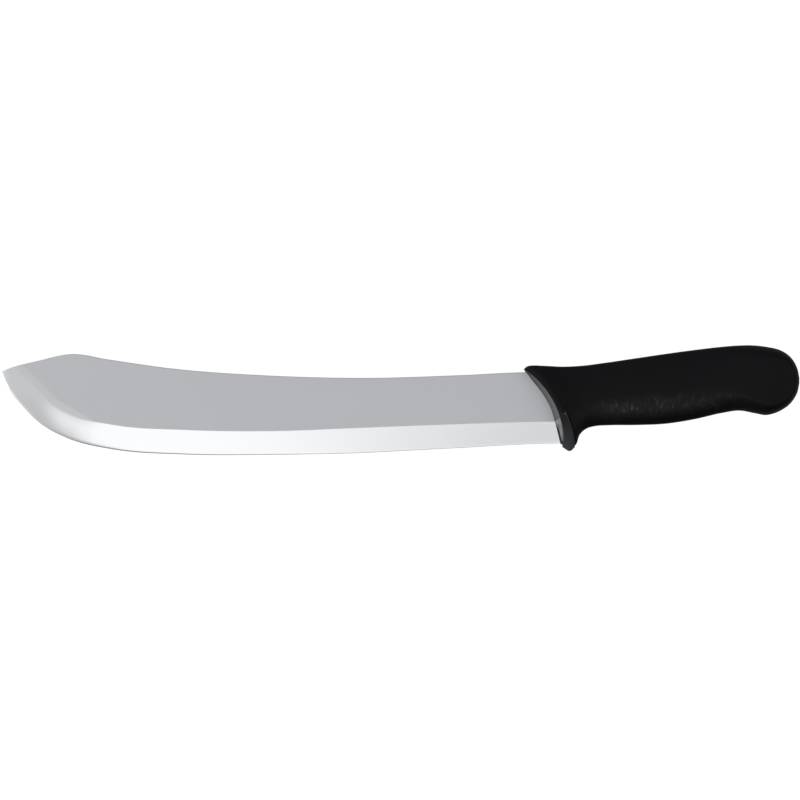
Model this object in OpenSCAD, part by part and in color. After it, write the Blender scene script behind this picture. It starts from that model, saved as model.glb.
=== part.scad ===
// Butcher's knife: a wide ground blade with an upswept, clipped point, its hidden tang,
// and a handle of a hard core with a grip moulded over it.
// The knife lies on its side. The point looks along -X, the spine along +Y, and +Z is up.

/* [Blade] */
// Distance from the point to the lower front corner of the handle
blade_l = 308; // [270:1:330]
// Thickness between the two ground flats
blade_t = 2.5; // [2:0.1:3]
// Distance from the point back to the hump of the spine
clip_l = 40; // [34:1:46]
// Height of the hump above the point
clip_rise = 10; // [6:0.5:14]
// Depth of the belly of the edge below the point
belly_drop = 45.2; // [40:0.1:50]
// Height of the blade where it enters the handle
heel_h = 39; // [34:0.5:44]

/* [Grind] */
// Width of the edge bevel along the belly
bevel_w = 13.2; // [8:0.1:16]
// Width of the edge bevel at the heel
bevel_heel_w = 12; // [7:0.5:15]
// Thickness left at the cutting edge
edge_t = 0.3; // [0.2:0.05:0.6]

/* [Tang] */
// Thickness of the unground tang
tang_t = 2.8; // [2.4:0.1:3.6]
// Length of the narrow part of the tang
tang_l = 82; // [76:1:84]
// Height of the narrow part of the tang
tang_h = 16; // [12:0.5:18]
// Diameter of the lock holes
hole_d = 8; // [5:0.5:10]
// Number of lock holes
hole_count = 3; // [2:1:3]
// Distance between the lock holes
hole_gap = 25; // [20:1:25]

/* [Handle] */
// Distance from the lower front corner of the handle to the end of the butt
handle_l = 130.5; // [118:0.5:140]
// Thickness of the handle at the butt
handle_t = 22.5; // [19:0.5:26]
// Thickness of the grip over the core
grip_wall = 3; // [2:0.1:4]
// Depth of the rings that lock the grip on the core
lock_depth = 1; // [0.5:0.1:1.5]

/* [Hidden] */

ring_n = 36;        // points round the handle
outline_steps = 6;  // pieces in each span of an outline
slack = 1;          // how far solids run into each other where they are joined or cut
hole_start = 20;    // distance from the lower front corner to the first lock hole

// Heights are measured from a line that runs through the middle of the knife.
point_y = 15.5;
hump_y = point_y + clip_rise;
belly_y = point_y - belly_drop;
neck_y = point_y;
heel_y = neck_y - heel_h;

// The back of the knife, from the point over the hump to the handle.
spine_pts = [
    [0, point_y],
    [0.075 * clip_l, point_y + 0.14 * clip_rise],
    [0.5 * clip_l, point_y + 0.61 * clip_rise],
    [clip_l, hump_y],
    [1.45 * clip_l, point_y + 0.72 * clip_rise],
    [0.31 * blade_l, point_y + 0.19 * clip_rise],
    [0.47 * blade_l, point_y - 0.17 * clip_rise],
    [0.66 * blade_l, point_y - 0.31 * clip_rise],
    [0.82 * blade_l, point_y - 0.16 * clip_rise],
    [0.94 * blade_l, neck_y]
];

// The cutting edge, from the point round the belly to the heel.
edge_pts = [
    [0, point_y],
    [0.0105 * blade_l, point_y - 0.155 * belly_drop],
    [0.036 * blade_l, point_y - 0.385 * belly_drop],
    [0.072 * blade_l, point_y - 0.625 * belly_drop],
    [0.125 * blade_l, point_y - 0.815 * belly_drop],
    [0.2 * blade_l, point_y - 0.935 * belly_drop],
    [0.33 * blade_l, belly_y + 0.1],
    [0.49 * blade_l, belly_y],
    [0.62 * blade_l, belly_y + 0.7],
    [0.8 * blade_l, 0.45 * belly_y + 0.55 * heel_y],
    [blade_l, heel_y]
];

// The line where the flat ends and the bevel begins, one point for each point of the edge.
// It leaves the blade through the clipped back, so the point itself is ground thin.
bevel_pts = [
    [0.01 * blade_l, hump_y],
    [0.025 * blade_l, point_y + 0.45 * clip_rise],
    [0.036 * blade_l + 0.77 * bevel_w, point_y - 0.385 * belly_drop + 0.64 * bevel_w],
    [0.072 * blade_l + 0.6 * bevel_w, point_y - 0.625 * belly_drop + 0.8 * bevel_w],
    [0.125 * blade_l + 0.35 * bevel_w, point_y - 0.815 * belly_drop + 0.94 * bevel_w],
    [0.2 * blade_l + 0.15 * bevel_w, point_y - 0.935 * belly_drop + bevel_w],
    [0.33 * blade_l, belly_y + 0.4 + bevel_w],
    [0.49 * blade_l, belly_y - 0.2 + bevel_w],
    [0.62 * blade_l, belly_y + 1.3 + bevel_w],
    [0.8 * blade_l, 0.45 * belly_y + 0.55 * heel_y + bevel_w],
    [blade_l, heel_y + bevel_heel_w]
];

// Sections of the handle from the front rim to the butt. Each row holds the place of its
// top, the place of its bottom, its thickness as a share of handle_t, its squareness
// (2 is an ellipse) and how far its broad sides sweep back from its top and bottom.
TOP_X = 0;
TOP_Y = 1;
LOW_X = 2;
LOW_Y = 3;
THICK = 4;
SQUARE = 5;
SWEEP = 6;
hx = blade_l;
hs = handle_l / 130.5;
butt_x = blade_l + handle_l;
sections = [
    [hx - 20.9, 17.0, hx + 0.3, -25.5, 0.90, 2.0, 7.2],
    [hx - 19.0, 18.7, hx + 4.6, -28.0, 0.95, 2.0, 7.2],
    [hx - 17.0, 19.2, hx + 7.3, -25.2, 0.93, 2.0, 5.6],
    [hx - 8.0 * hs, 19.0, hx + 10.0 * hs, -18.8, 0.86, 2.0, 4.0],
    [hx + 1.0 * hs, 18.6, hx + 13.5 * hs, -15.6, 0.80, 2.1, 2.3],
    [hx + 11.0 * hs, 19.1, hx + 18.5 * hs, -14.1, 0.79, 2.2, 1.1],
    [hx + 23.0 * hs, 20.6, hx + 27.0 * hs, -13.6, 0.80, 2.3, 0.4],
    [hx + 40.0 * hs, 23.1, hx + 41.0 * hs, -13.5, 0.83, 2.4, 0],
    [hx + 57.0 * hs, 25.6, hx + 57.0 * hs, -12.8, 0.86, 2.4, 0],
    [hx + 74.0 * hs, 27.9, hx + 74.0 * hs, -10.1, 0.89, 2.5, 0],
    [hx + 87.0 * hs, 29.4, hx + 88.0 * hs, -6.9, 0.92, 2.6, 0],
    [hx + 97.0 * hs, 30.2, hx + 98.0 * hs, -5.6, 0.96, 2.8, 0],
    [hx + 105.0 * hs, 30.3, hx + 106.0 * hs, -7.0, 0.99, 3.0, 0],
    [hx + 113.0 * hs, 29.4, hx + 112.5 * hs, -8.0, 1.00, 3.2, 0],
    [hx + 120.0 * hs, 27.7, hx + 119.0 * hs, -6.2, 0.98, 3.2, 0],
    [hx + 126.0 * hs, 23.5, hx + 125.5 * hs, -1.8, 0.90, 3.0, 0],
    [hx + 129.4 * hs, 17.6, hx + 129.4 * hs, 4.4, 0.72, 2.8, 0],
    [butt_x, 12.6, butt_x, 9.4, 0.30, 2.4, 0]
];
sweep_lean = 0.2;   // how much further the sweep goes above the middle than below it

// The front of the handle in the middle plane, from the top of its rim to the bottom.
front_pts = [
    [hx - 20.9, 17.0],
    [hx - 15.8, 10.6],
    [hx - 11.0, 4.6],
    [hx - 6.2, -3.8],
    [hx - 3.2, -13.4],
    [hx - 1.8, -19.0],
    [hx - 0.4, -24.2],
    [hx + 0.1, -25.5]
];
mouth = 0.5;        // how far the unground steel shows in front of that
part_at = 2;        // the grip starts at this section, behind the lip of the guard
core_end = 10;      // the core ends at this section
ring_steps = 3;     // rings in each span of the sections
lock_at = [4.5, 6.2, 7.6, 9];
lock_half = 0.22;   // half the length of a lock ring, in sections
lock_wall = 0.08;   // length of the side of a lock ring, in sections

// Curve through a list of points: u runs from 0 at the first to len - 1 at the last.
function span(p, i) = norm(p[i + 1] - p[i]);
function inner_slope(p, i) =
    let (a = span(p, i - 1), b = span(p, i))
    ((p[i] - p[i - 1]) * b / a + (p[i + 1] - p[i]) * a / b) / (a + b);
function slope(p, i) =
    i == 0 ? (p[1] - p[0]) / span(p, 0)
    : i == len(p) - 1 ? (p[i] - p[i - 1]) / span(p, i - 1)
    : inner_slope(p, i);
function in_span(p, i, t) =
    (1 + 2 * t) * pow(1 - t, 2) * p[i]
    + t * pow(1 - t, 2) * span(p, i) * slope(p, i)
    + t * t * (3 - 2 * t) * p[i + 1]
    - t * t * (1 - t) * span(p, i) * slope(p, i + 1);
function at(p, u) =
    let (i = min(floor(u), len(p) - 2))
    in_span(p, i, u - i);
function curve(p, steps) = [for (k = [0 : steps * (len(p) - 1)]) at(p, k / steps)];
function reversed(p) = [for (k = [len(p) - 1 : -1 : 0]) p[k]];

// Faces of a solid whose rings of n points follow each other, closed by a fan at each end
// or by the caller's own end faces.
function quad(a, b, c, d) = [[a, b, c], [a, c, d]];
function side_faces(rings, n) = [
    for (i = [0 : rings - 2], j = [0 : n - 1])
        let (k = (j + 1) % n)
        for (f = quad(i * n + j, i * n + k, (i + 1) * n + k, (i + 1) * n + j)) f
];
function joined(lists) = [for (l = lists) for (v = l) v];

// One ring of the handle, inset by `wall` from the outer surface.
function signed_pow(v, e) = sign(v) * pow(abs(v), e);
function ring(u, wall) =
    let (
        r = at(sections, u),
        top = [r[TOP_X], r[TOP_Y]],
        low = [r[LOW_X], r[LOW_Y]],
        way = (top - low) / norm(top - low),
        mid = (top + low) / 2,
        reach = norm(top - low) / 2 - wall,
        half = r[THICK] * handle_t / 2 - wall,
        e = 2 / r[SQUARE]
    )
    [for (j = [0 : ring_n - 1])
        let (
            a = -360 * j / ring_n,
            across = reach * signed_pow(cos(a), e),
            up = half * signed_pow(sin(a), e),
            back = r[SWEEP] * pow(abs(sin(a)), 1.6) * (1 + sweep_lean * cos(a))
        )
        [mid[0] + way[0] * across + back, mid[1] + way[1] * across, up]];

// The middle line of the front face, level with each point of the front ring.
front_by_height = [for (p = reversed(curve(front_pts, outline_steps))) [p[1], p[0]]];
function front_line() = [for (p = ring(0, 0)) [lookup(p[1], front_by_height), p[1], 0]];

// Rings of the surface where the grip meets the core, as [section, depth] pairs.
core_steps = joined([
    [for (u = [part_at : 0.5 : lock_at[0] - 1]) [u, 0]],
    joined([for (u = lock_at) [
        [u - lock_half, 0],
        [u - lock_half + lock_wall, lock_depth],
        [u + lock_half - lock_wall, lock_depth],
        [u + lock_half, 0]
    ]]),
    [[core_end, 0]]
]);
core_rings = [for (s = core_steps) ring(s[0], grip_wall + s[1])];

// Moves a solid from the middle plane of the blade to where the knife lies, centred.
low_y = min([for (p = curve(edge_pts, outline_steps)) p[1]]);
top_y = max([for (p = curve(sections, ring_steps)) p[TOP_Y]]);
module placed() {
    translate([-butt_x / 2, -(low_y + top_y) / 2, handle_t / 2])
        children();
}

// Solid that grinds away one side of the edge, for the +Z side.
module grind() {
    edge = curve(edge_pts, outline_steps);
    line = curve(bevel_pts, outline_steps);
    n = len(edge);
    fall = (blade_t - edge_t) / 2;
    over = 1.4;
    runout = [10, 0];
    rings = [for (i = [0 : n])
        let (
            e = i < n ? edge[i] : edge[n - 1] + runout,
            b = i < n ? line[i] : line[n - 1] + runout,
            out = b + (e - b) * over
        )
        [
            [b[0], b[1], blade_t / 2],
            [out[0], out[1], blade_t / 2 - fall * over],
            [out[0], out[1], tang_t],
            [b[0], b[1], tang_t]
        ]];
    m = 4 * n;
    polyhedron(
        points = joined(rings),
        faces = concat(
            side_faces(n + 1, 4),
            [[3, 2, 1, 0], [m, m + 1, m + 2, m + 3]]
        ),
        convexity = 6
    );
}

// Outline of the whole piece of steel. Its neck runs into the handle, and the tang
// narrows behind it.
module steel_outline() {
    neck_x = hx + 5;
    tang_x = hx + tang_l;
    axis_y = 3;
    axis_rise = 8;
    corner = 4;
    difference() {
        union() {
            polygon(concat(
                curve(spine_pts, outline_steps),
                [[hx - 8, neck_y - 1], [neck_x, axis_y + tang_h / 2]],
                [[neck_x, heel_y + 1.5 * corner], [hx + 2, heel_y]],
                reversed(curve(edge_pts, outline_steps))
            ));
            polygon([
                [neck_x - slack, axis_y + tang_h / 2],
                [neck_x - slack, axis_y - tang_h / 2],
                [tang_x - corner, axis_y + axis_rise - tang_h / 2],
                [tang_x, axis_y + axis_rise + corner - tang_h / 2],
                [tang_x, axis_y + axis_rise - corner + tang_h / 2],
                [tang_x - corner, axis_y + axis_rise + tang_h / 2]
            ]);
        }
        for (k = [0 : hole_count - 1])
            let (back = hole_start + hole_gap * k)
                translate([hx + back, axis_y + axis_rise * back / tang_l])
                    circle(d = hole_d, $fn = 48);
    }
}

// The part of the outline from just before the handle back, where the steel is unground.
module unground_outline() {
    intersection() {
        steel_outline();
        translate([-mouth, 0])
            polygon(concat(
                curve(front_pts, outline_steps),
                [[butt_x, low_y], [butt_x, top_y]]
            ));
    }
}

module steel() {
    difference() {
        union() {
            linear_extrude(blade_t, center = true)
                steel_outline();
            linear_extrude(tang_t, center = true)
                unground_outline();
        }
        grind();
        mirror([0, 0, 1])
            grind();
    }
}

module blade() {
    color("silver")
        placed()
            steel();
}

module handle_core() {
    n = ring_n;
    steps = part_at * ring_steps;
    rim_rings = [for (k = [0 : steps]) ring(k / ring_steps, 0)];
    rings = concat([front_line()], rim_rings, core_rings);
    last = (len(rings) - 1) * n;
    color("dimgray")
        placed()
            difference() {
                polyhedron(
                    points = joined(rings),
                    faces = concat(
                        side_faces(len(rings), n),
                        [[for (j = [0 : n - 1]) last + j]]
                    ),
                    convexity = 6
                );
                steel();
            }
}

module handle_grip() {
    n = ring_n;
    spans = len(sections) - 1 - part_at;
    outer = [for (k = [0 : spans * ring_steps]) ring(part_at + k / ring_steps, 0)];
    rings = concat(reversed(core_rings), outer);
    last = (len(rings) - 1) * n;
    color("#1b1c1e")
        placed()
            polyhedron(
                points = joined(rings),
                faces = concat(
                    side_faces(len(rings), n),
                    [
                        [for (j = [n - 1 : -1 : 0]) j],
                        [for (j = [0 : n - 1]) last + j]
                    ]
                ),
                convexity = 6
            );
}

blade();
handle_core();
handle_grip();
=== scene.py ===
"""Looks for the butcher's knife: a ground steel blade in a black moulded handle.

The knife lies on its side. Outlines are worked in millimetres in the knife's own drawing
plane (x back from the point, y up towards the spine, z out from the blade's middle plane),
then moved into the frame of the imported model.
"""

import math

import bpy
import numpy as np
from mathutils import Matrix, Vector


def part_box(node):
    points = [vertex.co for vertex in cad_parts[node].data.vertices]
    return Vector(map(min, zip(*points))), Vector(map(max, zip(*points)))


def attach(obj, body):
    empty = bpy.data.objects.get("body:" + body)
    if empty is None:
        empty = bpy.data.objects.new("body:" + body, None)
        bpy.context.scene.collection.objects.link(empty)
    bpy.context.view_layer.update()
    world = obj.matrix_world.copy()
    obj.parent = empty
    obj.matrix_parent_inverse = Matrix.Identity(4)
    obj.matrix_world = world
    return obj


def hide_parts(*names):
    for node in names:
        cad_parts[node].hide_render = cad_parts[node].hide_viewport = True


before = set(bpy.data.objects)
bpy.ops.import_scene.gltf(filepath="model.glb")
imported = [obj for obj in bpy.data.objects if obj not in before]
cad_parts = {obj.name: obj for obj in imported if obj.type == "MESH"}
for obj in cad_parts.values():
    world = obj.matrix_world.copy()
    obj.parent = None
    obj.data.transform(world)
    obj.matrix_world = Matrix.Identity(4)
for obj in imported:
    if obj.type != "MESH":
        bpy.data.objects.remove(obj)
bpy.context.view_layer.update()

MM = 0.001

# ---------------------------------------------------------------- driving dimensions, mm
BLADE_L = 308.0
BLADE_T = 2.5
CLIP_L = 40.0
CLIP_RISE = 10.0
BELLY_DROP = 45.2
HEEL_H = 39.0
BEVEL_W = 13.2
BEVEL_HEEL_W = 12.0
GROUND_EDGE_T = 0.3
HANDLE_L = 130.5
HANDLE_T = 22.5
HIDDEN_END = 6.0    # how far the visible steel runs on inside the handle

POINT_Y = 15.5
HUMP_Y = POINT_Y + CLIP_RISE
BELLY_Y = POINT_Y - BELLY_DROP
HEEL_Y = POINT_Y - HEEL_H
BUTT_X = BLADE_L + HANDLE_L

# Where the drawing plane lies in the frame: the point and the hump of the blade fix it.
blade_low, blade_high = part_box("blade")
ORIGIN = Vector((blade_low.x, blade_high.y - HUMP_Y * MM, (blade_low.z + blade_high.z) / 2))

# ---------------------------------------------------------------- outlines, mm
SPINE = [
    (0, POINT_Y),
    (0.075 * CLIP_L, POINT_Y + 0.14 * CLIP_RISE),
    (0.5 * CLIP_L, POINT_Y + 0.61 * CLIP_RISE),
    (CLIP_L, HUMP_Y),
    (1.45 * CLIP_L, POINT_Y + 0.72 * CLIP_RISE),
    (0.31 * BLADE_L, POINT_Y + 0.19 * CLIP_RISE),
    (0.47 * BLADE_L, POINT_Y - 0.17 * CLIP_RISE),
    (0.66 * BLADE_L, POINT_Y - 0.31 * CLIP_RISE),
    (0.82 * BLADE_L, POINT_Y - 0.16 * CLIP_RISE),
    (0.94 * BLADE_L, POINT_Y),
    (BLADE_L + HIDDEN_END, POINT_Y - 0.5),
]
EDGE = [
    (0, POINT_Y),
    (0.0105 * BLADE_L, POINT_Y - 0.155 * BELLY_DROP),
    (0.036 * BLADE_L, POINT_Y - 0.385 * BELLY_DROP),
    (0.072 * BLADE_L, POINT_Y - 0.625 * BELLY_DROP),
    (0.125 * BLADE_L, POINT_Y - 0.815 * BELLY_DROP),
    (0.2 * BLADE_L, POINT_Y - 0.935 * BELLY_DROP),
    (0.33 * BLADE_L, BELLY_Y + 0.1),
    (0.49 * BLADE_L, BELLY_Y),
    (0.62 * BLADE_L, BELLY_Y + 0.7),
    (0.8 * BLADE_L, 0.45 * BELLY_Y + 0.55 * HEEL_Y),
    (BLADE_L, HEEL_Y),
]
# One point for each point of EDGE: where the flat ends and the bevel begins.
BEVEL = [
    (0.01 * BLADE_L, HUMP_Y),
    (0.025 * BLADE_L, POINT_Y + 0.45 * CLIP_RISE),
    (0.036 * BLADE_L + 0.77 * BEVEL_W, POINT_Y - 0.385 * BELLY_DROP + 0.64 * BEVEL_W),
    (0.072 * BLADE_L + 0.6 * BEVEL_W, POINT_Y - 0.625 * BELLY_DROP + 0.8 * BEVEL_W),
    (0.125 * BLADE_L + 0.35 * BEVEL_W, POINT_Y - 0.815 * BELLY_DROP + 0.94 * BEVEL_W),
    (0.2 * BLADE_L + 0.15 * BEVEL_W, POINT_Y - 0.935 * BELLY_DROP + BEVEL_W),
    (0.33 * BLADE_L, BELLY_Y + 0.4 + BEVEL_W),
    (0.49 * BLADE_L, BELLY_Y - 0.2 + BEVEL_W),
    (0.62 * BLADE_L, BELLY_Y + 1.3 + BEVEL_W),
    (0.8 * BLADE_L, 0.45 * BELLY_Y + 0.55 * HEEL_Y + BEVEL_W),
    (BLADE_L, HEEL_Y + BEVEL_HEEL_W),
]
# The front of the handle in the middle plane, from the top of its rim to the bottom.
FRONT = [
    (BLADE_L - 20.9, 17.0),
    (BLADE_L - 15.8, 10.6),
    (BLADE_L - 11.0, 4.6),
    (BLADE_L - 6.2, -3.8),
    (BLADE_L - 3.2, -13.4),
    (BLADE_L - 1.8, -19.0),
    (BLADE_L - 0.4, -24.2),
    (BLADE_L + 0.1, -25.5),
]
# Sections of the handle from the front rim to the butt: place of the top, place of the
# bottom, thickness as a share of HANDLE_T, squareness (2 is an ellipse), sweep of the
# broad sides behind the top and bottom.
HX = BLADE_L
SECTIONS = [
    (HX - 20.9, 17.0, HX + 0.3, -25.5, 0.90, 2.0, 7.2),
    (HX - 19.0, 18.7, HX + 4.6, -28.0, 0.95, 2.0, 7.2),
    (HX - 17.0, 19.2, HX + 7.3, -25.2, 0.93, 2.0, 5.6),
    (HX - 8.0, 19.0, HX + 10.0, -18.8, 0.86, 2.0, 4.0),
    (HX + 1.0, 18.6, HX + 13.5, -15.6, 0.80, 2.1, 2.3),
    (HX + 11.0, 19.1, HX + 18.5, -14.1, 0.79, 2.2, 1.1),
    (HX + 23.0, 20.6, HX + 27.0, -13.6, 0.80, 2.3, 0.4),
    (HX + 40.0, 23.1, HX + 41.0, -13.5, 0.83, 2.4, 0),
    (HX + 57.0, 25.6, HX + 57.0, -12.8, 0.86, 2.4, 0),
    (HX + 74.0, 27.9, HX + 74.0, -10.1, 0.89, 2.5, 0),
    (HX + 87.0, 29.4, HX + 88.0, -6.9, 0.92, 2.6, 0),
    (HX + 97.0, 30.2, HX + 98.0, -5.6, 0.96, 2.8, 0),
    (HX + 105.0, 30.3, HX + 106.0, -7.0, 0.99, 3.0, 0),
    (HX + 113.0, 29.4, HX + 112.5, -8.0, 1.00, 3.2, 0),
    (HX + 120.0, 27.7, HX + 119.0, -6.2, 0.98, 3.2, 0),
    (HX + 126.0, 23.5, HX + 125.5, -1.8, 0.90, 3.0, 0),
    (HX + 129.4, 17.6, HX + 129.4, 4.4, 0.72, 2.8, 0),
    (BUTT_X, 12.6, BUTT_X, 9.4, 0.30, 2.4, 0),
]
PARTING = 2.0       # section where the grip meets the lip of the core
CORE_END = 10.0     # section where the core ends inside the grip
SEAL_BELOW = 0.5    # how far the seal reaches below the heel of the blade
SWEEP_LEAN = 0.2    # how much further the sweep goes above the middle than below it
GRIP_WALL = 3.0     # thickness of the grip over the core
LIP_START = 0.12    # section where the core's face ends on the side where the grip reaches it
SLOT_CLEAR = 0.12   # room between the steel and the sides of its slot
KNOB_AT = 0.13      # how far below the middle of the guard the bead begins


# ---------------------------------------------------------------- curves through points
class Curve:
    """A smooth curve through points; u runs from 0 at the first to len - 1 at the last."""

    def __init__(self, points):
        self.p = np.array(points, float)
        step = np.diff(self.p, axis=0)
        self.length = np.linalg.norm(step, axis=1)
        self.slope = np.empty_like(self.p)
        self.slope[0] = step[0] / self.length[0]
        self.slope[-1] = step[-1] / self.length[-1]
        a = self.length[:-1, None]
        b = self.length[1:, None]
        self.slope[1:-1] = (step[:-1] * b / a + step[1:] * a / b) / (a + b)

    def __call__(self, u):
        u = np.asarray(u, float)
        i = np.clip(np.floor(u).astype(int), 0, len(self.p) - 2)
        t = (u - i)[..., None]
        d = self.length[i][..., None]
        return (
            (1 + 2 * t) * (1 - t) ** 2 * self.p[i]
            + t * (1 - t) ** 2 * d * self.slope[i]
            + t * t * (3 - 2 * t) * self.p[i + 1]
            - t * t * (1 - t) * d * self.slope[i + 1]
        )


def smoothstep(low, high, v):
    t = np.clip((np.asarray(v, float) - low) / (high - low), 0, 1)
    return t * t * (3 - 2 * t)


def to_frame(points):
    """Millimetres in the drawing plane to metres in the frame."""
    return np.asarray(points, float) * MM + np.array(ORIGIN)


def mesh_object(name, points, faces, materials, slots=None):
    mesh = bpy.data.meshes.new(name)
    mesh.from_pydata(to_frame(points).tolist(), [], [list(map(int, f)) for f in faces])
    mesh.validate()
    for material in materials:
        mesh.materials.append(material)
    if slots is not None:
        mesh.polygons.foreach_set("material_index", np.asarray(slots, np.int32))
    mesh.polygons.foreach_set("use_smooth", np.ones(len(mesh.polygons), bool))
    mesh.update()
    obj = bpy.data.objects.new(name, mesh)
    bpy.context.scene.collection.objects.link(obj)
    return obj


def loft_faces(rings, n, first=0):
    """Quads between rings of n points that follow each other."""
    faces = []
    for i in range(rings - 1):
        for j in range(n):
            k = (j + 1) % n
            a = first + i * n
            b = a + n
            faces.append((a + j, b + j, b + k, a + k))
    return faces


# ---------------------------------------------------------------- nodes
class Nodes:
    """Builds a node tree; an input may be a value or another node's output."""

    def __init__(self, tree):
        self.tree = tree
        tree.nodes.clear()

    def add(self, kind, **settings):
        node = self.tree.nodes.new(kind)
        inputs = settings.pop("inputs", {})
        for key, value in settings.items():
            setattr(node, key, value)
        for key, value in inputs.items():
            self.feed(node.inputs[key], value)
        return node

    def feed(self, socket, value):
        if isinstance(value, bpy.types.NodeSocket):
            self.tree.links.new(value, socket)
        else:
            socket.default_value = value

    def math(self, operation, a, b=0.0, c=0.0):
        node = self.add("ShaderNodeMath", operation=operation)
        for socket, value in zip(node.inputs, (a, b, c)):
            self.feed(socket, value)
        return node.outputs[0]

    def remap(self, value, low, high, out_low, out_high, smooth=False):
        node = self.add(
            "ShaderNodeMapRange",
            interpolation_type="SMOOTHSTEP" if smooth else "LINEAR",
            inputs={"Value": value, "From Min": low, "From Max": high,
                    "To Min": out_low, "To Max": out_high},
        )
        return node.outputs["Result"]

    def noise(self, vector, scale, detail=2.0, rough=0.5):
        node = self.add(
            "ShaderNodeTexNoise",
            inputs={"Vector": vector, "Scale": scale, "Detail": detail, "Roughness": rough},
        )
        return node.outputs["Fac"]

    def scaled(self, vector, scale):
        node = self.add("ShaderNodeMapping", inputs={"Vector": vector, "Scale": scale})
        return node.outputs["Vector"]

    def blend_rgb(self, factor, a, b):
        node = self.add("ShaderNodeMix", data_type="RGBA")
        for index, value in ((0, factor), (6, a), (7, b)):
            self.feed(node.inputs[index], value)
        return node.outputs[2]


def new_material(name):
    material = bpy.data.materials.new(name)
    material.use_nodes = True
    return material, Nodes(material.node_tree)


def finish_material(t, shader):
    t.add("ShaderNodeOutputMaterial", inputs={"Surface": shader.outputs[0]})


def steel(name, satin, polished=None, streak=0.05):
    """Ground stainless steel whose grinding marks run along the blade.

    satin and polished are (tint, roughness); the vertex attribute "polish" blends them,
    and a second vertex attribute darkens the steel beside the collar: painted shade for the
    handle's shadow.
    """
    polished = polished or satin
    material, t = new_material(name)
    place = t.add("ShaderNodeTexCoord").outputs["Object"]
    polish = t.add("ShaderNodeAttribute", attribute_name="polish").outputs["Fac"]
    lines = t.noise(t.scaled(place, (16, 1900, 400)), 1.0, 3.0, 0.6)
    broad = t.noise(t.scaled(place, (6, 40, 40)), 1.0, 2.0, 0.5)
    level = t.remap(polish, 0, 1, satin[1], polished[1])
    uneven = t.math("ADD", t.remap(lines, 0.3, 0.7, -0.1 * streak, 0.1 * streak),
                    t.math("MULTIPLY", level, t.remap(broad, 0.3, 0.7, -0.05, 0.05)))
    rough = t.math("ADD", level, uneven)
    bump = t.add("ShaderNodeBump",
                 inputs={"Height": lines, "Strength": streak, "Distance": 0.000004})
    tint = t.blend_rgb(polish, tuple(satin[0]) + (1,), tuple(polished[0]) + (1,))
    # Painted shade: the steel is blended towards black beside the collar, standing in for the
    # handle's shadow.
    painted_collar_shade = t.add("ShaderNodeAttribute", attribute_name="painted_collar_shade").outputs["Fac"]
    tint = t.blend_rgb(painted_collar_shade, tint, (0, 0, 0, 1))
    dark = t.blend_rgb(0.3 * streak, tint, (0, 0, 0, 1))
    colour = t.blend_rgb(t.remap(lines, 0.3, 0.7, 0, 1), dark, tint)
    shader = t.add(
        "ShaderNodeBsdfPrincipled",
        inputs={"Base Color": colour, "Metallic": 1.0, "Roughness": rough,
                "Normal": bump.outputs["Normal"]},
    )
    finish_material(t, shader)
    return material


def window(t, value, low, high, fade):
    """1 where value lies between low and high, falling to 0 over fade beyond each."""
    rise = t.remap(value, low - fade, low, 0, 1, smooth=True)
    fall = t.remap(value, high, high + fade, 1, 0, smooth=True)
    return t.math("MULTIPLY", rise, fall)


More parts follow.
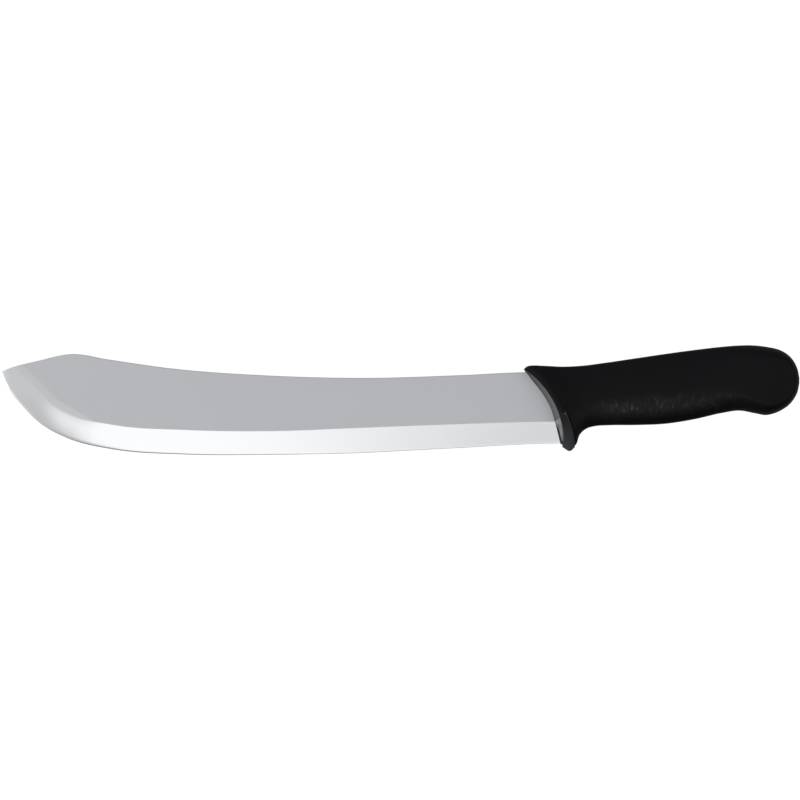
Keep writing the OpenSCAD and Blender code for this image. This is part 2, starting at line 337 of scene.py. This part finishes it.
def plastic(name, tint, roughness, specular, pebble, wear_and_sheen=0.0, lip=False):
    """Black moulded plastic, finely pebbled.

    On the grip's lower shoulder, where the fingers close round it, the plastic is worn less rough
    and lightened in streaks: partly wear, partly a painted sheen. The lip is lighter towards its
    lower end, and carries a painted glint at the corner where its bead begins.
    """
    material, t = new_material(name)
    place = t.add("ShaderNodeTexCoord").outputs["Object"]
    cells = t.add("ShaderNodeTexVoronoi", inputs={"Vector": place, "Scale": 1300.0})
    fine = t.noise(place, 2600.0, 2.0, 0.6)
    broad = t.noise(place, 70.0, 3.0, 0.6)
    height = t.math("ADD", t.math("MULTIPLY", cells.outputs["Distance"], 0.7),
                    t.math("MULTIPLY", fine, 0.5))
    bump = t.add("ShaderNodeBump",
                 inputs={"Height": height, "Strength": pebble, "Distance": 0.0001})
    rough = t.remap(broad, 0.3, 0.7, 0.94 * roughness, 1.06 * roughness)
    dark = tuple(c * 0.85 for c in tint) + (1,)
    colour = t.blend_rgb(t.remap(broad, 0.35, 0.65, 0, 1), dark, tuple(tint) + (1,))
    if wear_and_sheen:
        # Along the lower shoulder the grip is made less rough and lightened in streaks: partly
        # wear, partly a painted sheen.
        x, y, _ = t.add("ShaderNodeSeparateXYZ", inputs={0: place}).outputs
        start = to_frame((BLADE_L + 26, -4.8, 0))
        rise = t.math("MULTIPLY_ADD", t.math("SUBTRACT", x, start[0]), -0.09, y)
        length = t.math("MULTIPLY",
                        t.remap(x, start[0] - 0.012, start[0] + 0.002, 0, 1, smooth=True),
                        t.remap(x, start[0] + 0.01, start[0] + 0.08, 1, 0))
        zone = t.math("MULTIPLY", length,
                      window(t, rise, start[1] - 0.001, start[1] + 0.001, 0.0065))
        clumps = t.noise(t.scaled(place, (110, 150, 150)), 1.0, 2.0, 0.5)
        marks = t.noise(t.scaled(place, (760, 260, 260)), 1.0, 3.0, 0.7)
        streaks = t.math("MULTIPLY", t.remap(clumps, 0.4, 0.62, 0.15, 1, smooth=True),
                         t.remap(marks, 0.44, 0.72, 0, wear_and_sheen, smooth=True))
        wear_and_sheen_mask = t.math("MULTIPLY", zone, t.math("ADD", streaks, 0.1 * wear_and_sheen))
        rough = t.math("SUBTRACT", rough, t.math("MULTIPLY", wear_and_sheen_mask, 0.15))
        # Painted sheen, partly wear: the band's colour is lifted towards grey.
        colour = t.blend_rgb(wear_and_sheen_mask, colour, (0.05, 0.05, 0.05, 1))
    if lip:
        # The lip is lighter towards its lower end.
        y = t.add("ShaderNodeSeparateXYZ", inputs={0: place}).outputs[1]
        foot = to_frame(((0, -27, 0), (0, -8, 0)))[:, 1]
        colour = t.blend_rgb(t.remap(y, foot[0], foot[1], 0.9, 0.1, smooth=True), colour,
                             (0.045, 0.047, 0.05, 1))
        # Painted glint: a small light grey spot where the bead begins on each broad side.
        for corner in bead_corners():
            away = t.add("ShaderNodeVectorMath", operation="DISTANCE",
                         inputs={0: place, 1: tuple(corner)}).outputs["Value"]
            colour = t.blend_rgb(t.remap(away, 0.0004, 0.0012, 1, 0, smooth=True), colour,
                                 (0.14, 0.15, 0.145, 1))
    shader = t.add(
        "ShaderNodeBsdfPrincipled",
        inputs={"Base Color": colour, "Roughness": rough, "Specular IOR Level": specular,
                "Normal": bump.outputs["Normal"]},
    )
    finish_material(t, shader)
    return material


# ---------------------------------------------------------------- blade
GROUND, SPINE_STEEL, HONED = 0, 1, 2      # material slots of the blade


def blade_stations():
    """Edge point, bevel-line point and spine point of each cross line of the blade."""
    edge = Curve(EDGE + [(EDGE[-1][0] + HIDDEN_END, EDGE[-1][1])])
    bevel = Curve(BEVEL + [(BEVEL[-1][0] + HIDDEN_END, BEVEL[-1][1])])
    spine = Curve(SPINE)
    dense = np.linspace(0.02, len(EDGE), 4000)
    outline = spine(np.linspace(0, len(SPINE) - 1, 3000))
    e = edge(dense)
    b = bevel(dense)
    way = b - e
    # Where each line from the edge through the bevel line meets the spine.
    off = outline[None] - e[:, None, :]
    side = way[:, None, 0] * off[..., 1] - way[:, None, 1] * off[..., 0]
    hit = np.argmax(side < 0, axis=1)
    hit = np.where(side.min(axis=1) >= 0, len(outline) - 1, hit)
    before = np.maximum(hit - 1, 0)
    rows = np.arange(len(e))
    share = side[rows, before] / np.where(hit > 0, side[rows, before] - side[rows, hit], 1)
    s = outline[before] + np.clip(share, 0, 1)[:, None] * (outline[hit] - outline[before])
    # Keep lines about a millimetre and a half apart, closer round the point.
    gap = np.maximum(np.linalg.norm(np.diff(e, axis=0), axis=1),
                     np.linalg.norm(np.diff(s, axis=0), axis=1))
    fine = 0.5 + 1.1 * smoothstep(10, 60, e[1:, 0])
    travelled = np.concatenate([[0], np.cumsum(gap / fine)])
    pick = np.interp(np.linspace(0, travelled[-1], int(travelled[-1]) + 1), travelled,
                     np.arange(len(e)))
    keep = np.unique(np.round(pick).astype(int))
    return e[keep], b[keep], s[keep]


def ground_profile(x, bevel):
    """Cross-section of the ground blade against the distance from the edge.

    Along the belly the bevel is flat and ends in a crisp line. Round the point it is
    ground by hand: a little convex, with a second narrow facet before the flat.
    Gives distances, half thicknesses, polish, where the first bevel's rounded end begins
    and ends, and where the grinding ends.
    """
    by_hand = 1 - smoothstep(34, 54, x)
    convex = 0.42 * (1 - smoothstep(40, 70, x))
    facet = 3.0 * (1 - smoothstep(30, 54, x))
    second = 0.48 * smoothstep(0, 1, facet)
    crease = bevel - 0.7 * by_hand
    soft = 0.15 + 1.0 * by_hand
    end = bevel + facet
    fade = 0.15 + 0.6 * by_hand
    d = np.linspace(0, bevel + 4.5, 400)
    first = 1 - smoothstep(crease - soft, crease + soft, d)
    kept = 1 - smoothstep(end - fade, end + fade, d)
    slope = (second + (1 + convex * (1 - 2 * d / bevel) - second) * first) * kept
    climb = np.concatenate([[0], np.cumsum((slope[1:] + slope[:-1]) / 2 * np.diff(d))])
    half = GROUND_EDGE_T / 2 + (BLADE_T - GROUND_EDGE_T) / 2 * climb / climb[-1]
    polish = (first + (1 - first) * 0.5 * smoothstep(0, 1, facet)) * kept
    polish = polish * (0.6 + 0.4 * smoothstep(3, 16, x))
    return d, half, polish, crease - soft, crease + soft, max(crease + soft, end)


def blade_mesh():
    """Points, faces, material slots and polish of the visible steel."""
    loops = []
    polish = []
    slots = []
    band = None
    for edge, line, spine in zip(*blade_stations()):
        reach = np.linalg.norm(spine - edge)
        bevel = np.linalg.norm(line - edge)
        way = (spine - edge) / max(reach, 1e-9)
        d, profile, shine, turn_in, turn_out, end = ground_profile(edge[0], bevel)
        honed = np.interp(edge[0], (50, 100, 180, 240, 300), (0.8, 0.5, 0.31, 0.36, 0.3))
        marks = [
            np.array([0, 0.5, 0.94, 1.06]) * honed,
            np.linspace(1.06 * honed, turn_in, 11)[1:],
            np.linspace(turn_in, turn_out, 8)[1:],
            np.linspace(turn_out, end + 0.8, 7)[1:],
            np.linspace(end + 0.8, max(reach - 0.3, end + 1), 10)[1:],
            reach - np.array([0.12, 0.04, 0]),
        ]
        band = np.cumsum([len(m) for m in marks])
        flat = np.concatenate(marks)
        count = len(flat)
        flat = np.minimum(flat, reach * (1 - 0.004 * np.arange(count - 1, -1, -1)))
        flat[0] = 0
        half = np.interp(flat, d, profile)
        at_honed = np.interp(honed, d, profile)
        slope = min(0.335, (at_honed - 0.02) / honed)
        half = np.minimum(half, at_honed - slope * (honed - flat))
        # A small round takes off the corner along the spine.
        near = np.clip(1 - (reach - flat) / 0.3, 0, 1)
        half = np.maximum(half - 0.2 * (1 - np.sqrt(1 - near ** 2)), 0.02)
        place = edge + flat[:, None] * way
        top = np.column_stack([place, half])
        loops.append(np.concatenate([top, top[::-1] * (1, 1, -1)]))
        bright = np.interp(flat, d, shine)
        polish.append(np.concatenate([bright, bright[::-1]]))
    side = len(loops[0]) // 2
    points = np.concatenate(loops)
    faces = loft_faces(len(loops), 2 * side)
    for _ in range(len(loops) - 1):
        for j in range(2 * side):
            k = j if j < side else 2 * side - 2 - j
            if j == 2 * side - 1 or k < band[0] - 1:
                slots.append(HONED)
            elif k >= band[4] - 1:
                slots.append(SPINE_STEEL)
            else:
                slots.append(GROUND)
    last = len(points) - 2 * side
    faces.append(tuple(range(2 * side)))
    faces.append(tuple(last + k for k in range(2 * side - 1, -1, -1)))
    slots += [SPINE_STEEL, SPINE_STEEL]
    return points, faces, slots, np.concatenate(polish)


def make_blade():
    flats = ((0.730, 0.740, 0.769), 0.48)
    bevels = ((0.856, 0.866, 0.880), 0.14)
    ground = steel("steel_ground", flats, bevels, 0.08)
    spine = steel("steel_spine", ((0.74, 0.745, 0.77), 0.4), streak=0.1)
    honed = steel("steel_edge", ((0.77, 0.777, 0.79), 0.2), streak=0.1)
    points, faces, slots, polish = blade_mesh()
    obj = mesh_object("ground_blade", points, faces, [ground, spine, honed], slots)
    # Painted shade on the flats beside the collar, fading over about five millimetres from its
    # front.
    gap = np.maximum(front_x(points[:, 1]) - points[:, 0], 0)
    painted_collar_shade = 0.17 * (1 - polish) * np.exp(-gap / 5.5)
    for name, value in (("polish", polish), ("painted_collar_shade", painted_collar_shade)):
        field = obj.data.attributes.new(name, "FLOAT", "POINT")
        field.data.foreach_set("value", value.astype(np.float32))
    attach(obj, "root")
    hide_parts("blade")
    return obj


# ---------------------------------------------------------------- handle
N_ROUND = 192       # points round the handle
SMOOTH, LIP = 0, 1  # material slots of the core
handle_curve = Curve(SECTIONS)
TURN = -2 * np.pi * np.arange(N_ROUND) / N_ROUND
# The core's lip shows below the middle of the guard; above it the grip reaches the rim.
LIP_SHOWS = smoothstep(0.02, 0.16, -np.cos(TURN))
MEETS = LIP_START + (PARTING - LIP_START) * LIP_SHOWS


def signed_pow(v, e):
    return np.sign(v) * np.abs(v) ** e


def handle_ring(u, wall=0.0):
    """Points round the handle at section u, wall below the skin; both may vary round it."""
    r = handle_curve(np.broadcast_to(np.asarray(u, float), (N_ROUND,)))
    top = r[:, 0:2]
    low = r[:, 2:4]
    chord = np.linalg.norm(top - low, axis=1)
    way = (top - low) / chord[:, None]
    mid = (top + low) / 2
    e = 2 / r[:, 5]
    across = (chord / 2 - wall) * signed_pow(np.cos(TURN), e)
    up = (r[:, 4] * HANDLE_T / 2 - wall) * signed_pow(np.sin(TURN), e)
    back = r[:, 6] * np.abs(np.sin(TURN)) ** 1.6 * (1 + SWEEP_LEAN * np.cos(TURN))
    flat = mid + way * across[:, None]
    return np.column_stack([flat[:, 0] + back, flat[:, 1], up])


def bead_corners():
    """Where the bead on the lip begins, on either broad side, in the frame."""
    points = to_frame(handle_ring(0.9 * MEETS))
    share = math.acos(-KNOB_AT) / (2 * math.pi)
    return [points[round(N_ROUND * share)], points[round(N_ROUND * (1 - share))]]


front_curve = Curve(FRONT)(np.linspace(0, len(FRONT) - 1, 400))


def front_x(y):
    order = np.argsort(front_curve[:, 1])
    return np.interp(y, front_curve[order, 1], front_curve[order, 0])


def slot_ring(depth, spread, below=0.0):
    """Points round the slot that the blade comes out of; depth may vary with height."""
    low = HEEL_Y - 0.25 - spread - below
    high = POINT_Y + 0.35 + spread
    y = (low + high) / 2 + (high - low) / 2 * signed_pow(np.cos(TURN), 0.75)
    steel_half = np.interp(y, (HEEL_Y, HEEL_Y + BEVEL_HEEL_W),
                           (GROUND_EDGE_T / 2, BLADE_T / 2))
    z = (steel_half + SLOT_CLEAR + spread) * signed_pow(np.sin(TURN), 0.22)
    back = depth(y) if callable(depth) else depth
    return np.column_stack([front_x(y) + back, y, z])


def seal_width(y):
    """Width of the narrow black seal between blade and front face."""
    return 0.1 + 0.6 * smoothstep(-13, -17, y) + 0.1 * smoothstep(1, 11, y)


def closed_loft(rings):
    points = np.concatenate(rings)
    faces = loft_faces(len(rings), N_ROUND)
    last = len(points) - N_ROUND
    faces.append(tuple(range(N_ROUND)))
    faces.append(tuple(last + k for k in range(N_ROUND - 1, -1, -1)))
    return points, faces


def core_mesh():
    """Points, faces and material slots of the core, from its slot to its hidden end."""
    rim = handle_ring(0, 0.06)
    seal = slot_ring(seal_width, 0.06, SEAL_BELOW)
    # The mouth that the blade comes out of, with the narrow flat seal round it.
    rings = [slot_ring(6.0, 0.0), slot_ring(1.0, 0.0), slot_ring(0.04, 0.0),
             slot_ring(0.0, 0.03), seal + (-0.04, 0, 0), seal]
    seal_rings = len(rings)
    # The front face rises from the seal to the rim, very slightly hollow.
    foot = slot_ring(lambda y: seal_width(y) + 0.02, 0.10, SEAL_BELOW)
    for t in (0, 0.015, 0.05, 0.14, 0.24, 0.36, 0.48, 0.6, 0.72, 0.84, 0.93, 0.98):
        p = foot * (1 - t) + rim * t
        p[:, 0] += 0.2 * math.sin(math.pi * t)
        rings.append(p)
    face_rings = len(rings)
    rings.append(rim)
    # The lip: a shallow valley behind the rim, then a bead along the parting groove.
    knob = 1 + 1.2 * np.exp(-((np.cos(TURN) + KNOB_AT) / 0.02) ** 2)
    lip = (0.03, 0.1, 0.2, 0.3, 0.4, 0.5, 0.6, 0.7, 0.78, 0.83, 0.87, 0.9, 0.93, 0.96, 1.0)
    bead_from = len(rings) + lip.index(0.83)
    bead_to = len(rings) + lip.index(0.96)
    for t in lip:
        valley = 0.25 * math.sin(math.pi * min(t / 0.75, 1)) ** 2
        bead = 0.3 * math.exp(-((t - 0.9) / 0.06) ** 2) * knob
        rings.append(handle_ring(MEETS * t, (valley - bead) * LIP_SHOWS))
    rings.append(handle_ring(MEETS + 0.02, 0.35))
    rings.append(handle_ring(MEETS + 0.04, 1.2))
    inner = GRIP_WALL + 0.05
    for t in np.linspace(0, 1, 18):
        rings.append(handle_ring(MEETS + 0.1 + (CORE_END - MEETS - 0.1) * t, inner))
    points, faces = closed_loft(rings)
    slots = []
    for k in range(len(faces)):
        ring, turn = divmod(k, N_ROUND)
        # Bead faces take the face's glossier, lighter plastic: partly a painted highlight along
        # the ridge.
        on_bead = bead_from <= ring < bead_to and LIP_SHOWS[turn] > 0.5
        slots.append(SMOOTH if seal_rings <= ring < face_rings or on_bead else LIP)
    return points, faces, slots


def segment_distance(p, a, b):
    """Distance of each point from its own piece of line from a to b."""
    way = b - a
    share = ((p - a) * way).sum(axis=1) / np.maximum((way ** 2).sum(axis=1), 1e-12)
    return np.linalg.norm(p - a - np.clip(share, 0, 1)[:, None] * way, axis=1)


def outline_distance(points):
    """Distance of each point from the handle's outline, seen square on."""
    r = handle_curve(np.linspace(PARTING, len(SECTIONS) - 1, 1500))
    end = np.linspace(r[-1, 0:2], r[-1, 2:4], 20)[1:-1]
    line = np.concatenate([r[:, 0:2], end, r[::-1, 2:4]])
    out = np.empty(len(points))
    for i in range(0, len(points), 2000):
        flat = points[i:i + 2000, :2]
        gap = ((flat[:, None] - line[None]) ** 2).sum(axis=2)
        nearest = np.clip(gap.argmin(axis=1), 1, len(line) - 2)
        pieces = [segment_distance(flat, line[nearest - 1], line[nearest]),
                  segment_distance(flat, line[nearest], line[nearest + 1])]
        out[i:i + 2000] = np.minimum(*pieces)
    return out


def flat_butt(points):
    """Give the butt flat broad sides, with a shoulder that narrows towards the end."""
    out = points.copy()
    near = smoothstep(BLADE_L + 70, BLADE_L + 104, points[:, 0])
    rows = np.flatnonzero(near > 0)
    p = points[rows]
    inside = outline_distance(p)
    u = np.linspace(0, len(SECTIONS) - 1, 2000)
    r = handle_curve(u)
    share = np.maximum(r[:, 4], 0.97 * smoothstep(11, 13, u))
    half = np.interp(p[:, 0], (r[:, 0] + r[:, 2]) / 2, share * HANDLE_T / 2)
    width = 3.6 + 0.19 * np.maximum(BLADE_L + 125 - p[:, 0], 0)
    round_off = np.clip(1 - inside / width, 0, 1)
    height = np.maximum(half * (1 - round_off ** 1.7) ** (1 / 1.7), 0.05)
    side = np.where(np.abs(p[:, 2]) > 1e-6, np.sign(p[:, 2]), 0)
    out[rows, 2] += near[rows] * (side * height - p[:, 2])
    return out


def grip_mesh():
    """Points and faces of the grip, from inside the parting groove round to the butt."""
    gap = 0.015 + 0.075 * LIP_SHOWS
    start = MEETS + gap
    end = len(SECTIONS) - 1
    rings = [handle_ring(start + (CORE_END - start) * t, GRIP_WALL)
             for t in np.linspace(1, 0, 18)]
    rings.append(handle_ring(start, 1.5))
    rings.append(handle_ring(start, 0.5))
    rings.append(handle_ring(start, 0.12))
    rings.append(handle_ring(start + 0.02, 0.03))
    first = len(rings)
    for t in np.linspace(0, 1, 260)[1:]:
        rings.append(handle_ring(start + 0.04 + (end - start - 0.04) * t))
    points, faces = closed_loft(rings)
    return flat_butt(points), faces


def make_handle():
    face = plastic("core_smooth", (0.012, 0.0124, 0.0135), 0.22, 0.5, 0.02)
    lip = plastic("core_lip", (0.0026, 0.0030, 0.0039), 0.4, 0.2, 0.05, lip=True)
    skin = plastic("grip_pebbled", (0.0016, 0.0019, 0.0029), 0.42, 0.155, 0.25, wear_and_sheen=1.0)
    points, faces, slots = core_mesh()
    core = mesh_object("core_collar", points, faces, [face, lip], slots)
    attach(core, "root")
    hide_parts("handle_core")
    points, faces = grip_mesh()
    grip = mesh_object("moulded_grip", points, faces, [skin])
    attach(grip, "root")
    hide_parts("handle_grip")
    return core, grip


# ---------------------------------------------------------------- stage, light, camera
FRAME_W = 0.4392          # width of the view at the knife's middle plane
CAMERA_H = 2.2            # height of the camera over that plane
HALF_PIXEL = FRAME_W / 1600
FLOOR_SIZE = 14.0
FLOOR_GAP = 0.00002       # keeps the knife's lowest points off the floor


def make_camera():
    data = bpy.data.cameras.new("camera")
    data.sensor_width = 36.0
    data.lens = data.sensor_width * CAMERA_H / FRAME_W
    data.clip_start = 0.05
    data.clip_end = 60
    camera = bpy.data.objects.new("camera", data)
    camera.location = (ORIGIN.x + FRAME_W / 2 - HALF_PIXEL, ORIGIN.y + HALF_PIXEL,
                       ORIGIN.z + CAMERA_H)
    bpy.context.scene.collection.objects.link(camera)
    bpy.context.scene.camera = camera


def corner_points(obj):
    """The mesh's points, one row each."""
    field = np.empty(3 * len(obj.data.vertices), np.float32)
    obj.data.vertices.foreach_get("co", field)
    return field.reshape(-1, 3)


def make_floor(blade, core):
    """A white floor under the two places that a knife lying on its side rests on."""
    steel_points = corner_points(blade)
    core_points = corner_points(core)
    guard = core_points[core_points[:, 2].argmin()]
    free = steel_points[steel_points[:, 0] < guard[0] - 0.1]
    slope = ((free[:, 2] - guard[2]) / (free[:, 0] - guard[0])).max()
    lowest = np.concatenate([steel_points, core_points])
    centre_z = (lowest[:, 2] - slope * lowest[:, 0]).min() - FLOOR_GAP
    h = FLOOR_SIZE / 2
    mesh = bpy.data.meshes.new("floor")
    corners = [(x, y, centre_z + slope * x) for x, y in ((-h, -h), (h, -h), (h, h), (-h, h))]
    mesh.from_pydata(corners, [], [(0, 1, 2, 3)])
    material, t = new_material("pale_floor")
    diffuse = t.add("ShaderNodeBsdfDiffuse", inputs={"Color": (0.9, 0.9, 0.9, 1)})
    glow = t.add("ShaderNodeEmission", inputs={"Color": (1, 1, 1, 1), "Strength": 1.2})
    both = t.add("ShaderNodeMixShader", inputs={0: 0.8, 1: diffuse.outputs[0], 2: glow.outputs[0]})
    finish_material(t, both)
    mesh.materials.append(material)
    floor = bpy.data.objects.new("floor", mesh)
    floor.visible_glossy = False
    bpy.context.scene.collection.objects.link(floor)


def make_light():
    """A plain soft room, brighter on the left, with three soft boxes."""
    world = bpy.data.worlds.new("studio")
    bpy.context.scene.world = world
    world.use_nodes = True
    t = Nodes(world.node_tree)
    x, y, z = t.add("ShaderNodeSeparateXYZ",
                    inputs={0: t.add("ShaderNodeTexCoord").outputs["Generated"]}).outputs
    up = t.math("MAXIMUM", z, 0.05)
    across = t.math("DIVIDE", x, up)
    along = t.math("DIVIDE", y, up)
    # The room: grey overhead, white low on the left, dim elsewhere and under the floor.
    room = t.math("ADD", t.remap(x, -0.7, -0.09, 0.6, 0.0), t.remap(z, 0, 1, 0.34, 0.43))
    room = t.math("MULTIPLY", room, t.remap(z, -0.05, 0.05, 0.5, 1))
    room = t.math("MULTIPLY", room, t.remap(y, -0.88, -0.52, 0.3, 1))
    # The soft box: its left edge leans, and it fades towards the handle.
    lean = t.math("ADD", across, t.math("MULTIPLY", along, 0.25))
    mask = t.remap(lean, -0.228, -0.170, 0, 1, smooth=True)
    for low, high, start, stop in ((-0.13, -0.04, 1, 0), (-0.8, -0.4, 0, 1)):
        mask = t.math("MULTIPLY", mask, t.remap(along, low, high, start, stop, smooth=True))
    mask = t.math("MULTIPLY", mask, t.remap(z, 0.3, 0.4, 0, 1))
    box = t.remap(across, -0.033, 0.0855, 1.245, 0.485)
    strength = t.math("ADD", room, t.math("MULTIPLY", mask, t.math("SUBTRACT", box, room)))
    # One lower down, over the handle, draws the soft line along its lower shoulder.
    low = t.math("MULTIPLY", window(t, along, -0.72, -0.4, 0.12),
                 t.remap(across, 0.0, 0.06, 0, 1.3, smooth=True))
    low = t.math("MULTIPLY", low, t.remap(across, 0.05, 0.12, 1, 0.55, smooth=True))
    low = t.math("MULTIPLY", low, t.remap(z, 0.3, 0.4, 0, 1))
    strength = t.math("ADD", strength, low)
    # A third, low on the left, lights the front face of the collar.
    side = t.math("MULTIPLY", window(t, x, -0.8, -0.62, 0.12), window(t, y, -0.32, -0.02, 0.14))
    side = t.math("MULTIPLY", side, t.remap(z, 0.0, 0.1, 0, 1.8))
    strength = t.math("ADD", strength, side)
    glow = t.add("ShaderNodeBackground", inputs={"Color": (1, 1, 1, 1), "Strength": strength})
    t.add("ShaderNodeOutputWorld", inputs={"Surface": glow.outputs[0]})


make_camera()
make_light()
blade = make_blade()
core, grip = make_handle()
make_floor(blade, core)

scene = bpy.context.scene
scene.view_settings.view_transform = "Standard"
scene.view_settings.look = "None"
